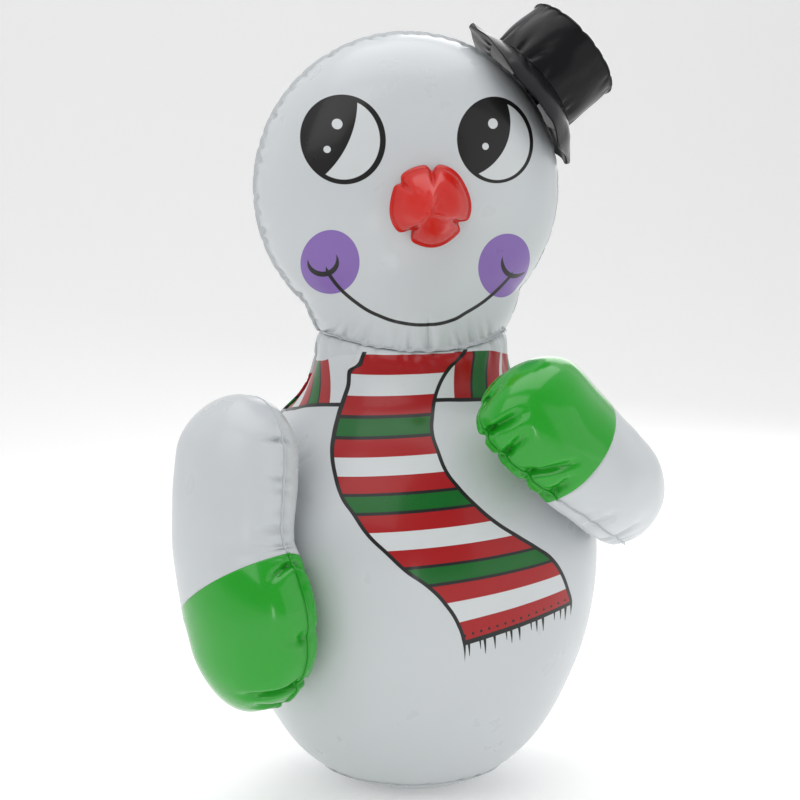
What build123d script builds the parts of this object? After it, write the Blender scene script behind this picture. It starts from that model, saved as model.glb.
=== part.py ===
from build123d import *
import os
from math import acos, asin, cos, degrees, radians, sin, sqrt

# Inflatable yard snowman: heat-welded vinyl film panels blown up to pillow shapes.
# Millimetres, +Z up. It faces -Y, so its own right hand is on the -X side.
# The origin is the centre of the flat patch that the base stands on.

FILM = 0.4  # thickness of one ply of vinyl
WELD = 3.5  # width of a weld flange that stands out from a seam

# Body: a pear of revolution about Z, from tangent arcs.
R_WIDE = 201.0  # radius at the widest level
Z_WIDE = 255.0  # height of the widest level
R_LOWER = 348.0  # long arc below the widest level
LOWER_SPAN = 34.0  # degrees of the long arc
R_ROLL = 146.0  # arc that turns under into the flat base
R_NECK = 103.0  # narrowest radius of the neck
Z_NECK = 466.0  # height of the narrowest level
NECK_FILLET = 68.0  # hollow arc that runs into the neck
R_THROAT = 87.0  # outer radius of the neck weld
THROAT_HOLE = 84.0  # radius of the air way from body to head
Z_THROAT = Z_NECK + R_NECK - R_THROAT
SIDE_SEAM = 105.0  # degrees from the front to each side seam
R_BASE_SEAM = 100.0  # radius of the seam round the base panel

# Head: a round pillow with its seam in the plane y = 0, and a chin lobe under it.
HEAD_CENTRE = (-5.0, 0.0, 645.0)
HEAD_R = 162.0
HEAD_DEPTH = 97.0  # from the seam plane to the front
HEAD_RIM_R = 88.0  # tight arc at the rim
LOBE_R = 96.5  # widest radius of the chin lobe
LOBE_MID = 514.0
LOBE_TOP = 572.0
LOBE_TOP_R = 88.0

# Nose cone.
NOSE_BASE_R = 43.0
NOSE_LENGTH = 50.0
NOSE_TIP_R = 5.0
NOSE_AT = (1.0, 634.0)

# Top hat, out along a line from the head centre.
HAT_ANGLE = 39.0  # degrees above +X
HAT_LEAN = 8.0  # degrees towards the back
HAT_OUT = 169.0  # from the head centre to the bottom panel
CROWN_R = 59.0
CROWN_WALL = 62.0
CROWN_DOME = 12.0
BRIM_R = 91.0
TAB_LENGTH = 42.0

# Arms: pillows that lie along the body, each with a sleeve and a mitten.
ARM_R = 63.0
ARM_OUT = 36.0  # from the body surface to the arm centre line
ARM_GAP = 4.0  # clear space between the arm and the body
PORT_R = 12.0  # air way into an arm
COLLAR_R = 25.0  # shoulder weld ring
SWING = 9.0  # degrees that an arm can pull away from the body
# (degrees from the front, height) of the shoulder end, the middle and the tip
RIGHT_ARM = ((-62.0, 374.0), (-59.0, 275.0), (-52.0, 186.0))
LEFT_ARM = ((66.0, 338.0), (46.0, 350.0), (26.0, 410.0))
RIGHT_CUFF = 0.62  # share of the centre line where the mitten starts
LEFT_CUFF = 0.52
RIGHT_SHOULDER = (-62.0, 356.0)
LEFT_SHOULDER = (66.0, 336.0)

# Valves: stem, flap, plug.
STEM_R = 5.5
STEM_BORE = 4.0
STEM_IN = 14.0
STEM_OUT = 8.0
FLANGE_R = 13.0
FLANGE_T = 0.9
MAIN_VALVE_Z = 150.0
BALLAST_VALVE_Z = 42.0

# Water ballast in the base.
BALLAST_TOP = 52.0


def polar(centre, radius, angle):
    """The point (x, z) at an angle in degrees round a centre."""
    return (centre[0] + radius * cos(radians(angle)), centre[1] + radius * sin(radians(angle)))


def v3(point):
    """A profile point (x, z) as a vector in the plane y = 0."""
    return Vector(point[0], 0, point[1])


def arc_edge(centre, radius, start, end):
    """An arc of the profile."""
    middle = (start + end) / 2
    points = [v3(polar(centre, radius, a)) for a in (start, middle, end)]
    return Edge.make_three_point_arc(*points)


def lines(*points):
    """Straight edges through profile points."""
    vectors = [v3(p) for p in points]
    return [Edge.make_line(a, b) for a, b in zip(vectors, vectors[1:])]


def profile_face(edges):
    """A flat face from edges that join end to end."""
    return Face(Wire(edges))


# Centres of the body arcs.
LOWER_C = (R_WIDE - R_LOWER, Z_WIDE)
ROLL_C = polar(LOWER_C, R_LOWER - R_ROLL, -LOWER_SPAN)
NECK_C = (R_NECK + NECK_FILLET, Z_NECK)
reach = NECK_C[0] - R_WIDE
rise = Z_NECK - Z_WIDE
R_UPPER = (reach**2 + rise**2 - NECK_FILLET**2) / (2 * (NECK_FILLET - reach))
UPPER_C = (R_WIDE - R_UPPER, Z_WIDE)
UPPER_SPAN = degrees(asin(rise / (R_UPPER + NECK_FILLET)))
TURN_R = R_NECK - R_THROAT
TURN_C = (R_THROAT, Z_NECK)


def body_arcs(grow, seam=None):
    """The body profile moved out by grow, from the base, or from the base seam, up to the throat."""
    roll = R_ROLL + grow
    start = -degrees(asin((ROLL_C[1] + grow) / roll)) if seam is None else seam
    return [
        arc_edge(ROLL_C, roll, start, -LOWER_SPAN),
        arc_edge(LOWER_C, R_LOWER + grow, -LOWER_SPAN, 0),
        arc_edge(UPPER_C, R_UPPER + grow, 0, UPPER_SPAN),
        arc_edge(NECK_C, NECK_FILLET - grow, 180 + UPPER_SPAN, 180),
        arc_edge(TURN_C, TURN_R + grow, 0, 90),
    ]


def body_solid(grow):
    """The whole body as one solid, moved out by grow."""
    arcs = body_arcs(grow)
    foot = arcs[0].position_at(0)
    top = arcs[-1].position_at(1)
    edges = arcs + lines((top.X, top.Z), (0, top.Z), (0, foot.Z), (foot.X, foot.Z))
    return revolve(profile_face(edges), axis=Axis.Z)


def surface_radius(height, grow=0.0):
    """Radius of the body profile, moved out by grow, at a height below the neck."""
    if height >= Z_WIDE:
        return UPPER_C[0] + sqrt((R_UPPER + grow) ** 2 - (height - Z_WIDE) ** 2)
    low = polar(LOWER_C, R_LOWER + grow, -LOWER_SPAN)[1]
    if height >= low:
        return LOWER_C[0] + sqrt((R_LOWER + grow) ** 2 - (height - Z_WIDE) ** 2)
    return ROLL_C[0] + sqrt((R_ROLL + grow) ** 2 - (height - ROLL_C[1]) ** 2)


def surface_slope(height):
    """Degrees that the body normal points above level at a height."""
    if height >= Z_WIDE:
        return degrees(asin((height - Z_WIDE) / R_UPPER))
    if height >= polar(LOWER_C, R_LOWER, -LOWER_SPAN)[1]:
        return degrees(asin((height - Z_WIDE) / R_LOWER))
    return degrees(asin((height - ROLL_C[1]) / R_ROLL))


def around(angle, height, grow=0.0):
    """A point on the body moved out by grow, at degrees from the front towards +X."""
    radius = surface_radius(height, grow)
    return Vector(radius * sin(radians(angle)), -radius * cos(radians(angle)), height)


def normal_at(angle, height):
    """The outward normal of the body at degrees from the front towards +X."""
    slope = radians(surface_slope(height))
    turn = radians(angle)
    return Vector(cos(slope) * sin(turn), -cos(slope) * cos(turn), sin(slope))


SEAM_ANGLE = -degrees(acos((R_BASE_SEAM - ROLL_C[0]) / R_ROLL))


def side_panel(start, sweep):
    """A body panel from one side seam to the other, with its weld flanges."""
    ply = degrees(FILM / R_ROLL)
    inner = body_arcs(-FILM, SEAM_ANGLE)
    outer = body_arcs(0, SEAM_ANGLE + ply)
    foot = lines(
        polar(ROLL_C, R_ROLL - FILM, SEAM_ANGLE),
        polar(ROLL_C, R_ROLL + WELD, SEAM_ANGLE),
        polar(ROLL_C, R_ROLL + WELD, SEAM_ANGLE + ply),
        polar(ROLL_C, R_ROLL, SEAM_ANGLE + ply),
    )
    top = lines(
        (R_THROAT, Z_THROAT),
        (THROAT_HOLE, Z_THROAT),
        (THROAT_HOLE, Z_THROAT - FILM),
        (R_THROAT, Z_THROAT - FILM),
    )
    sheet = profile_face(foot + outer + top + inner)
    panel = Rot(0, 0, start) * revolve(sheet, axis=Axis.Z, revolution_arc=sweep)
    rim = body_arcs(WELD, SEAM_ANGLE + 2 * ply)[:3]
    root = body_arcs(-FILM / 2, SEAM_ANGLE + 2 * ply)[:3]
    ends = lines(
        polar(UPPER_C, R_UPPER - FILM / 2, UPPER_SPAN),
        polar(UPPER_C, R_UPPER + WELD, UPPER_SPAN),
    ) + lines(
        polar(ROLL_C, R_ROLL - FILM / 2, SEAM_ANGLE + 2 * ply),
        polar(ROLL_C, R_ROLL + WELD, SEAM_ANGLE + 2 * ply),
    )
    fin = profile_face(rim + root + ends)
    first = Rot(0, 0, start) * extrude(fin, FILM, dir=(0, 1, 0))
    last = Rot(0, 0, start + sweep) * extrude(fin, FILM, dir=(0, -1, 0))
    return panel + first + last


def base_panel():
    """The round panel that closes the body below, with its weld flange."""
    ply = degrees(FILM / R_ROLL)
    outer_end = -degrees(asin(ROLL_C[1] / R_ROLL))
    inner_end = -degrees(asin((ROLL_C[1] - FILM) / (R_ROLL - FILM)))
    under = polar(ROLL_C, R_ROLL, outer_end)
    over = polar(ROLL_C, R_ROLL - FILM, inner_end)
    edges = lines((0, FILM), (0, 0), under)
    edges.append(arc_edge(ROLL_C, R_ROLL, outer_end, SEAM_ANGLE - ply))
    edges += lines(
        polar(ROLL_C, R_ROLL, SEAM_ANGLE - ply),
        polar(ROLL_C, R_ROLL + WELD, SEAM_ANGLE - ply),
        polar(ROLL_C, R_ROLL + WELD, SEAM_ANGLE),
        polar(ROLL_C, R_ROLL - FILM, SEAM_ANGLE),
    )
    edges.append(arc_edge(ROLL_C, R_ROLL - FILM, SEAM_ANGLE, inner_end))
    edges += lines(over, (0, FILM))
    return revolve(profile_face(edges), axis=Axis.Z)


RIM_C = HEAD_R - HEAD_RIM_R
CROWN_BALL_R = (RIM_C**2 + HEAD_DEPTH**2 - HEAD_RIM_R**2) / (2 * (HEAD_DEPTH - HEAD_RIM_R))


def pillow(grow):
    """The head pillow as one solid, moved out by grow, about an axis along Y."""
    rim_r = HEAD_RIM_R + grow
    rim_c = RIM_C
    crown_c = CROWN_BALL_R - HEAD_DEPTH
    meet = degrees(acos(rim_c / (CROWN_BALL_R - HEAD_RIM_R)))
    crown = CROWN_BALL_R + grow
    half = [
        arc_edge((0, -crown_c), crown, 90, meet),
        arc_edge((rim_c, 0), rim_r, meet, -meet),
        arc_edge((0, crown_c), crown, -meet, -90),
    ]
    depth = HEAD_DEPTH + grow
    disc = revolve(profile_face(half + lines((0, -depth), (0, depth))), axis=Axis.Z)
    return Pos(*HEAD_CENTRE) * (Rot(90, 0, 0) * disc)


def lobe(inset):
    """The chin lobe as one solid, moved in by inset. Moved in, it leaves the throat open."""
    side = Edge.make_three_point_arc(
        v3((R_THROAT - inset, Z_THROAT + inset)),
        v3((LOBE_R - inset, LOBE_MID)),
        v3((LOBE_TOP_R - inset, LOBE_TOP)),
    )
    if inset:
        foot = lines(
            (0, LOBE_TOP),
            (0, Z_THROAT - 1),
            (THROAT_HOLE, Z_THROAT - 1),
            (THROAT_HOLE, Z_THROAT + inset),
            (R_THROAT - inset, Z_THROAT + inset),
        )
    else:
        foot = lines((0, LOBE_TOP), (0, Z_THROAT), (R_THROAT, Z_THROAT))
    top = lines((LOBE_TOP_R - inset, LOBE_TOP), (0, LOBE_TOP))
    return revolve(profile_face(foot + [side] + top), axis=Axis.Z)


def box_between(low, high):
    """A box from its least corner to its greatest."""
    size = [b - a for a, b in zip(low, high)]
    middle = [(a + b) / 2 for a, b in zip(low, high)]
    return Pos(*middle) * Box(*size)


def rod(at, direction, radius, start, end):
    """A round rod along a direction, from start to end measured from a point."""
    plane = Plane(origin=at, z_dir=direction)
    return plane * Pos(0, 0, (start + end) / 2) * Cylinder(radius, end - start)


FRONT_HALF = box_between((-300, -300, 0), (300, 0, 1000))
BACK_HALF = box_between((-300, 0, 0), (300, 300, 1000))
BODY = body_solid(0)
HEAD = pillow(0)

# ---- head panels ----
head_outer = HEAD + lobe(0)
head_inner = pillow(-FILM) + lobe(FILM)
head_shell = head_outer - head_inner
disc_seam = Pos(*HEAD_CENTRE) * (Rot(90, 0, 0) * Cylinder(HEAD_R + WELD, 2 * FILM))
disc_hole = Pos(*HEAD_CENTRE) * (Rot(90, 0, 0) * Cylinder(HEAD_R - FILM / 2, 10))
clear_of_lobe = box_between((-300, -300, 0), (300, 300, LOBE_MID))
head_fin = disc_seam - disc_hole - clear_of_lobe
nose_at = Vector(NOSE_AT[0], -HEAD_DEPTH, NOSE_AT[1])
ball_centre = Vector(HEAD_CENTRE[0], CROWN_BALL_R - HEAD_DEPTH, HEAD_CENTRE[2])
nose_axis = (nose_at - ball_centre).normalized()
nose_port = rod(nose_at, nose_axis, PORT_R, -12, 12)
head_front = (head_shell & FRONT_HALF) + (head_fin & FRONT_HALF) - nose_port
head_back = (head_shell & BACK_HALF) + (head_fin & BACK_HALF)

# ---- nose ----
# Its axis runs through the centre of the head's front curve, so its foot lies on a sphere.
def nose_panel():
    """The nose cone, from its weld flange on the head to its rounded tip."""
    tip_c = (0, CROWN_BALL_R + NOSE_LENGTH - NOSE_TIP_R)
    root = degrees(acos((NOSE_BASE_R - 1.5 * FILM) / CROWN_BALL_R))
    toe = degrees(acos((NOSE_BASE_R + WELD) / CROWN_BALL_R))
    heel = degrees(acos(NOSE_BASE_R / CROWN_BALL_R))
    upper_r = CROWN_BALL_R + FILM
    edges = [arc_edge((0, 0), CROWN_BALL_R, root, toe)]
    edges += lines(polar((0, 0), CROWN_BALL_R, toe), polar((0, 0), upper_r, toe))
    edges.append(arc_edge((0, 0), upper_r, toe, heel))
    edges += lines(polar((0, 0), upper_r, heel), polar(tip_c, NOSE_TIP_R, 0))
    edges.append(arc_edge(tip_c, NOSE_TIP_R, 0, 90))
    edges += lines(polar(tip_c, NOSE_TIP_R, 90), polar(tip_c, NOSE_TIP_R - FILM, 90))
    edges.append(arc_edge(tip_c, NOSE_TIP_R - FILM, 90, 0))
    edges += lines(polar(tip_c, NOSE_TIP_R - FILM, 0), polar((0, 0), CROWN_BALL_R, root))
    return revolve(profile_face(edges), axis=Axis.Z)


nose_cone = Plane(origin=ball_centre, z_dir=nose_axis) * nose_panel()

# ---- body panels ----
front_start = -90 - SIDE_SEAM
body_front = side_panel(front_start, 2 * SIDE_SEAM)
body_back = side_panel(front_start + 2 * SIDE_SEAM, 360 - 2 * SIDE_SEAM)

# ---- arms ----


def arm_path(stations):
    """The centre line of an arm, an arc through three stations beside the body."""
    points = [around(angle, height, ARM_OUT) for angle, height in stations]
    return Edge.make_three_point_arc(*points)


def arm_tube(path, grow):
    """The round tube and round ends of an arm as one solid."""
    start, end = path.position_at(0), path.position_at(1)
    section = Plane(origin=start, z_dir=path.tangent_at(0)) * Circle(ARM_R + grow)
    tube = sweep(section, path=path)
    for point in (start, end):
        tube += Pos(*point) * Sphere(ARM_R + grow)
    return tube


def turned(shape, at, direction, angle):
    """A shape turned about an axis."""
    return shape.rotate(Axis(at, direction), angle)


def arm_parts(stations, share, shoulder, axis_dir, swing):
    """The panels of one arm: outer and inner, sleeve and mitten, and its shoulder weld."""
    path = arm_path(stations)
    hub = around(*shoulder)
    out = normal_at(*shoulder)
    pivot = hub + out * (ARM_GAP / 2)
    space = body_solid(ARM_GAP)
    space = space + turned(body_solid(ARM_GAP), pivot, axis_dir, -swing)
    space_in = body_solid(ARM_GAP + FILM)
    space_in = space_in + turned(body_solid(ARM_GAP + FILM), pivot, axis_dir, -swing)
    shell = (arm_tube(path, 0) - space) - (arm_tube(path, -FILM) - space_in)
    port = rod(hub, out, PORT_R, -5, 25)
    shell -= port
    cuff = Plane(origin=path.position_at(share), z_dir=path.tangent_at(share))
    far = cuff * Pos(0, 0, 200) * Box(500, 500, 400)
    near = cuff * Pos(0, 0, -200) * Box(500, 500, 400)
    split = body_solid(ARM_OUT)
    outside, inside = shell - split, shell & split
    collar = rod(hub, out, COLLAR_R, -10, 30) - rod(hub, out, COLLAR_R - 2 * FILM, -11, 31)
    collar = (collar & (arm_tube(path, 0) & space)) - BODY
    collar = collar & body_solid(2 * ARM_GAP)
    return {
        "sleeve_outer": outside & near,
        "sleeve_inner": inside & near,
        "mitten_outer": outside & far,
        "mitten_inner": inside & far,
        "shoulder_weld": collar,
    }, port


def level_tangent(angle):
    """The level direction along the body at degrees from the front."""
    return Vector(cos(radians(angle)), sin(radians(angle)), 0)


right_axis = level_tangent(RIGHT_SHOULDER[0])
left_axis = Vector(0, 0, -1)
right_arm, right_port = arm_parts(RIGHT_ARM, RIGHT_CUFF, RIGHT_SHOULDER, right_axis, -SWING)
left_arm, left_port = arm_parts(LEFT_ARM, LEFT_CUFF, LEFT_SHOULDER, left_axis, SWING)
body_front = body_front - right_port - left_port

# ---- hat ----
hat_radial = Vector(cos(radians(HAT_ANGLE)), 0, sin(radians(HAT_ANGLE)))
hat_tangent = Vector(-sin(radians(HAT_ANGLE)), 0, cos(radians(HAT_ANGLE)))
hat_foot = Vector(*HEAD_CENTRE) + hat_radial * HAT_OUT
hat_up = hat_radial * cos(radians(HAT_LEAN)) + Vector(0, 1, 0) * sin(radians(HAT_LEAN))
HAT = Plane(origin=hat_foot, x_dir=hat_tangent, z_dir=hat_up)


def crown_band():
    """The crown side: a slightly waisted tube with a weld flange at each end."""
    height = FILM + CROWN_WALL
    waist = CROWN_R - 2.0
    outer = Edge.make_three_point_arc(
        v3((CROWN_R, 3 * FILM)), v3((waist, height / 2)), v3((CROWN_R, height))
    )
    inner = Edge.make_three_point_arc(
        v3((CROWN_R - FILM, 3 * FILM)), v3((waist - FILM, height / 2)), v3((CROWN_R - FILM, height))
    )
    foot = lines(
        (CROWN_R - FILM, 3 * FILM),
        (CROWN_R - FILM, 2 * FILM),
        (CROWN_R + WELD, 2 * FILM),
        (CROWN_R + WELD, 3 * FILM),
        (CROWN_R, 3 * FILM),
    )
    top = lines(
        (CROWN_R, height),
        (CROWN_R, height + FILM),
        (CROWN_R - WELD, height + FILM),
        (CROWN_R - WELD, height),
        (CROWN_R - FILM, height),
    )
    return revolve(profile_face([outer, inner] + foot + top), axis=Axis.Z)


def crown_top():
    """The domed top panel, welded on the flange of the crown side."""
    base = 2 * FILM + CROWN_WALL
    edge_r = CROWN_R - WELD
    rise = CROWN_DOME - FILM
    dome_r = (edge_r**2 + rise**2) / (2 * rise)
    centre = (0, base + CROWN_DOME - dome_r)
    outer = arc_edge(centre, dome_r, degrees(acos(edge_r / dome_r)), 90)
    inner_r = dome_r - FILM
    inner_low = degrees(asin((dome_r - CROWN_DOME) / inner_r))
    inner = arc_edge(centre, inner_r, inner_low, 90)
    foot = polar(centre, inner_r, inner_low)
    edges = lines(foot, (CROWN_R, base), (CROWN_R, base + FILM), (edge_r, base + FILM))
    axis_line = lines((0, base + CROWN_DOME), (0, base + CROWN_DOME - FILM))
    return revolve(profile_face([outer, inner] + edges + axis_line), axis=Axis.Z)


hat_bottom = Cylinder(CROWN_R + WELD, FILM, align=(Align.CENTER, Align.CENTER, Align.MIN))
brim_disc = Cylinder(BRIM_R, FILM, align=(Align.CENTER, Align.CENTER, Align.MIN))
brim_hole = Cylinder(CROWN_R - 1.0, 3, align=(Align.CENTER, Align.CENTER, Align.CENTER))
hat_brim = Pos(0, 0, FILM) * (brim_disc - brim_hole)
hat_wall = HAT * crown_band()
hat_top = HAT * crown_top()
hat_bottom = HAT * hat_bottom
hat_brim = HAT * hat_brim
tab_plane = Plane(origin=Vector(*HEAD_CENTRE), x_dir=hat_tangent, z_dir=hat_radial)
tab_low = HEAD_R + 1.0
hat_tab = Pos(0, 0, (tab_low + HAT_OUT + 2) / 2) * Box(TAB_LENGTH, 6 * FILM, HAT_OUT + 2 - tab_low)
hat_tab = tab_plane * hat_tab
tab_slot = Pos(*HEAD_CENTRE) * (Rot(90, 0, 0) * Cylinder(HEAD_R + WELD, 2 * FILM))
below_hat = HAT * Pos(0, 0, 50) * Box(300, 300, 100)
hat_tab = hat_tab - tab_slot - HEAD - below_hat

# ---- water ballast ----
inside_body = body_solid(-FILM)
diaphragm = inside_body & box_between((-300, -300, BALLAST_TOP), (300, 300, BALLAST_TOP + FILM))
water = body_solid(-FILM - 0.3) & box_between((-300, -300, -1), (300, 300, BALLAST_TOP - 0.3))


# ---- valves ----
def ring(outer_r, inner_r, start, end):
    """A round tube along Z."""
    outer = Pos(0, 0, (start + end) / 2) * Cylinder(outer_r, end - start)
    return outer - Pos(0, 0, (start + end) / 2) * Cylinder(inner_r, end - start + 2)


def disc(radius, start, end):
    """A round plate along Z."""
    return Pos(0, 0, (start + end) / 2) * Cylinder(radius, end - start)


def valve(height):
    """A filler valve on the back: its parts, and the rod that clears its hole."""
    place = Plane(origin=around(180, height), x_dir=(1, 0, 0), z_dir=normal_at(180, height))
    flange = place * ring(FLANGE_R, STEM_R + 0.3, -6, FLANGE_T) - BODY
    lip = ring(STEM_R + 1.6, STEM_BORE, STEM_OUT - 1.6, STEM_OUT)
    stop = ring(STEM_R + 1.2, STEM_BORE, -STEM_IN + 1, -STEM_IN + 2.2)
    stem = ring(STEM_R, STEM_BORE, -STEM_IN, STEM_OUT) + lip + stop
    hinge_block = Pos(0, STEM_R - 0.7, -STEM_IN - 0.5) * Box(3, 1.2, 1)
    stem = stem + hinge_block
    flap = disc(STEM_R - 0.6, -STEM_IN - 0.9, -STEM_IN - 0.3)
    flap = flap - Pos(0, STEM_R - 0.7, -STEM_IN - 0.5) * Box(3.6, 1.8, 3)
    plug = disc(STEM_BORE - 0.15, STEM_OUT - 6, STEM_OUT + 0.2)
    plug = plug + disc(STEM_R + 1.8, STEM_OUT + 0.2, STEM_OUT + 1.8)
    pull = Pos(-STEM_R - 3.4, 0, STEM_OUT + 1.0) * Box(5, 4, 1.2)
    plug = plug + pull
    strap = Pos(STEM_R + 4.6, 0, STEM_OUT + 0.5) * Box(1.0, 3, 2.6)
    strap = strap + Pos(STEM_R + 3.35, 0, STEM_OUT + 1.4) * Box(3.1, 3, 0.8)
    strap = strap + Pos(STEM_R + 3.2, 0, STEM_OUT - 1.0) * Box(3.2, 3, 0.8)
    strap = strap - disc(STEM_R + 1.8, STEM_OUT, STEM_OUT + 2.5) - disc(STEM_R + 1.6, 0, STEM_OUT)
    parts = {
        "flange": flange,
        "stem": place * stem,
        "flap": place * flap,
        "plug": place * plug,
        "tether": place * strap,
    }
    return parts, place * disc(STEM_R + 0.3, -30, 30), place * disc(STEM_R + 3.5, -40, 30)


main_valve, main_hole, _ = valve(MAIN_VALVE_Z)
ballast_valve, ballast_hole, ballast_space = valve(BALLAST_VALVE_Z)
body_back = body_back - main_hole - ballast_hole
water = water - ballast_space
diaphragm = diaphragm - ballast_space

# ---- export ----
nodes = {
    "body_front_panel": body_front,
    "body_back_panel": body_back,
    "base_panel": base_panel(),
    "ballast_diaphragm": diaphragm,
    "ballast_water": water,
    "head_front_panel": head_front,
    "head_back_panel": head_back,
    "nose_cone": nose_cone,
    "hat_crown_wall": hat_wall,
    "hat_crown_top": hat_top,
    "hat_bottom_panel": hat_bottom,
    "hat_brim": hat_brim,
    "hat_weld_tab": hat_tab,
}
nodes.update({"right_" + name: shape for name, shape in right_arm.items()})
nodes.update({"left_" + name: shape for name, shape in left_arm.items()})
nodes.update({"main_valve_" + name: shape for name, shape in main_valve.items()})
nodes.update({"ballast_valve_" + name: shape for name, shape in ballast_valve.items()})

os.makedirs("parts", exist_ok=True)
for name, shape in nodes.items():
    solids = shape.solids()
    print(name, len(solids), round(sum(s.volume for s in solids), 1), all(s.is_valid for s in solids))
    whole = solids[0] if len(solids) == 1 else Compound(solids)
    export_step(whole, "parts/" + name + ".step")
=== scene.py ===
from math import acos, asin, cos, degrees, pi, radians, sin, sqrt

import bmesh
import bpy
import numpy as np
from mathutils import Matrix, Vector


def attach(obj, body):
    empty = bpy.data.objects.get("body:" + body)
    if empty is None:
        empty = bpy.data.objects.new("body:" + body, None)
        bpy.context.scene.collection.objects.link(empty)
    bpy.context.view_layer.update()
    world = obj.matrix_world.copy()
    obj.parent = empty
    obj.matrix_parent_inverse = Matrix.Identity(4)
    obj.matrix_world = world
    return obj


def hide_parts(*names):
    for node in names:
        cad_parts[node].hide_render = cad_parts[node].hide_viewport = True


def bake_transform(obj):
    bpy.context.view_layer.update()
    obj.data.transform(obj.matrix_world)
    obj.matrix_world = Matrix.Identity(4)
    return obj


# An inflatable yard snowman. Lengths are millimetres up to the point where a mesh is made.
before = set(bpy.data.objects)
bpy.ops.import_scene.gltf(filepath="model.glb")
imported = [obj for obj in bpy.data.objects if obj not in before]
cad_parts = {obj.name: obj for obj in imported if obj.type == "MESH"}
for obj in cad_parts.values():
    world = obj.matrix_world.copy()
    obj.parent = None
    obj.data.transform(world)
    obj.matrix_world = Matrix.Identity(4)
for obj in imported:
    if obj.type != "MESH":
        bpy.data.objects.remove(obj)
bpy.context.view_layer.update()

MM = 0.001
FILM = 0.6  # thickness that each panel is shown with
WELD = 3.0  # width of a weld flange

# Body profile, as in the frame: tangent arcs turned about Z.
R_WIDE, Z_WIDE = 201.0, 255.0
R_LOWER, LOWER_SPAN = 348.0, 34.0
R_ROLL = 146.0
R_NECK, Z_NECK, NECK_FILLET = 103.0, 466.0, 68.0
R_THROAT, Z_THROAT = 96.0, 482.0
R_BASE_SEAM = 100.0
SIDE_SEAM = 105.0
CHIN_RISE = 14.0  # how much higher the neck weld is at the sides than in front

# Head pillow.
HEAD = np.array([-5.0, 0.0, 645.0])
HEAD_R, HEAD_DEPTH, RIM_R = 162.0, 97.0, 88.0
LOBE_R, LOBE_Z = 96.5, 510.0

# Hat, in its own frame: x along the head rim, z out of the head.
HAT_ANGLE, HAT_LEAN, HAT_OUT = radians(39.0), radians(8.0), 169.0
CROWN_R, CROWN_H, DOME_H, BRIM_R = 59.0, 63.0, 11.5, 91.0


# ---- small tools on arrays ----
def smooth(low, high, x):
    """0 below low, 1 above high, and a smooth rise between."""
    t = np.clip((x - low) / (high - low), 0, 1)
    return t * t * (3 - 2 * t)


def spline(xs, ys, x):
    """A natural cubic spline through a few points."""
    xs, ys = np.array(xs, float), np.array(ys, float)
    n = len(xs)
    h = np.diff(xs)
    a = np.zeros((n, n))
    b = np.zeros((n,) + ys.shape[1:])
    a[0, 0] = a[-1, -1] = 1
    for i in range(1, n - 1):
        a[i, i - 1], a[i, i], a[i, i + 1] = h[i - 1], 2 * (h[i - 1] + h[i]), h[i]
        b[i] = 6 * ((ys[i + 1] - ys[i]) / h[i] - (ys[i] - ys[i - 1]) / h[i - 1])
    m = np.linalg.solve(a, b)
    i = np.clip(np.searchsorted(xs, x) - 1, 0, n - 2)
    shape = x.shape + (1,) * (ys.ndim - 1)
    t0 = (x - xs[i]).reshape(shape)
    t1 = (xs[i + 1] - x).reshape(shape)
    hi = h[i].reshape(shape)
    curve = (m[i] * t1**3 + m[i + 1] * t0**3) / (6 * hi)
    curve += (ys[i] / hi - m[i] * hi / 6) * t1
    return curve + (ys[i + 1] / hi - m[i + 1] * hi / 6) * t0


def puckers(along, away, length, spacing, reach, width, seed, closed=False):
    """How deep the film is gathered, 0 to 1, at a place along a weld and at a distance away from it.
    Each crease has its own place, depth and reach. It widens and fades as it leaves the weld."""
    rng = np.random.default_rng(seed)
    count = max(2, int(round(length / spacing)))
    places = (np.arange(count) + 0.5 + rng.uniform(-0.33, 0.33, count)) * length / count
    depths = rng.uniform(0.35, 1.0, count)
    reaches = reach * rng.uniform(0.5, 1.35, count)
    slants = rng.uniform(-0.25, 0.25, count)
    total = np.zeros(np.broadcast(along, away).shape)
    for place, depth, far, slant in zip(places, depths, reaches, slants):
        gap = along - place - slant * away
        if closed:
            gap = (gap + length / 2) % length - length / 2
        wide = width * (0.55 + 0.9 * away / far)
        total += depth * np.exp(-((gap / wide) ** 2)) * np.exp(-((away / far) ** 2) * 1.4)
    return total


def crease(along, away, place, reach, width, slant=0.0):
    """One long crease that runs in from a weld."""
    gap = along - place - slant * away
    fade = 1 - smooth(reach * 0.35, reach, away)
    return np.exp(-((gap / (width * (0.6 + 0.5 * away / reach))) ** 2)) * fade


def dents(points, size, seed):
    """Soft unevenness of blown-up film, about -1 to 1."""
    rng = np.random.default_rng(seed)
    total = np.zeros(points.shape[:-1])
    for _ in range(7):
        way = rng.normal(size=3)
        way /= np.linalg.norm(way)
        total += np.sin(points @ way * 2 * pi / (size * rng.uniform(0.6, 1.5)) + rng.uniform(0, 6.28))
    return total / 4


def unit(ways, least=1e-6):
    """Directions of length 1."""
    return ways / np.maximum(np.linalg.norm(ways, axis=-1, keepdims=True), least)


def lengths(points):
    """The distance of each point along a line from its first point."""
    return np.concatenate([[0], np.cumsum(np.linalg.norm(np.diff(points, axis=0), axis=1))])


def normals(grid, inside):
    """Unit normals of a grid of points, turned away from a point inside."""
    du = np.gradient(grid, axis=0)
    dv = np.gradient(grid, axis=1)
    out = np.cross(du, dv)
    size = np.linalg.norm(out, axis=-1, keepdims=True)
    fallback = unit(grid - inside, 1e-9)
    out = np.where(size > 1e-6, out / np.maximum(size, 1e-9), fallback)
    flip = np.sign(np.sum(out * fallback, axis=-1, keepdims=True))
    return out * np.where(flip == 0, 1, flip)


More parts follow.
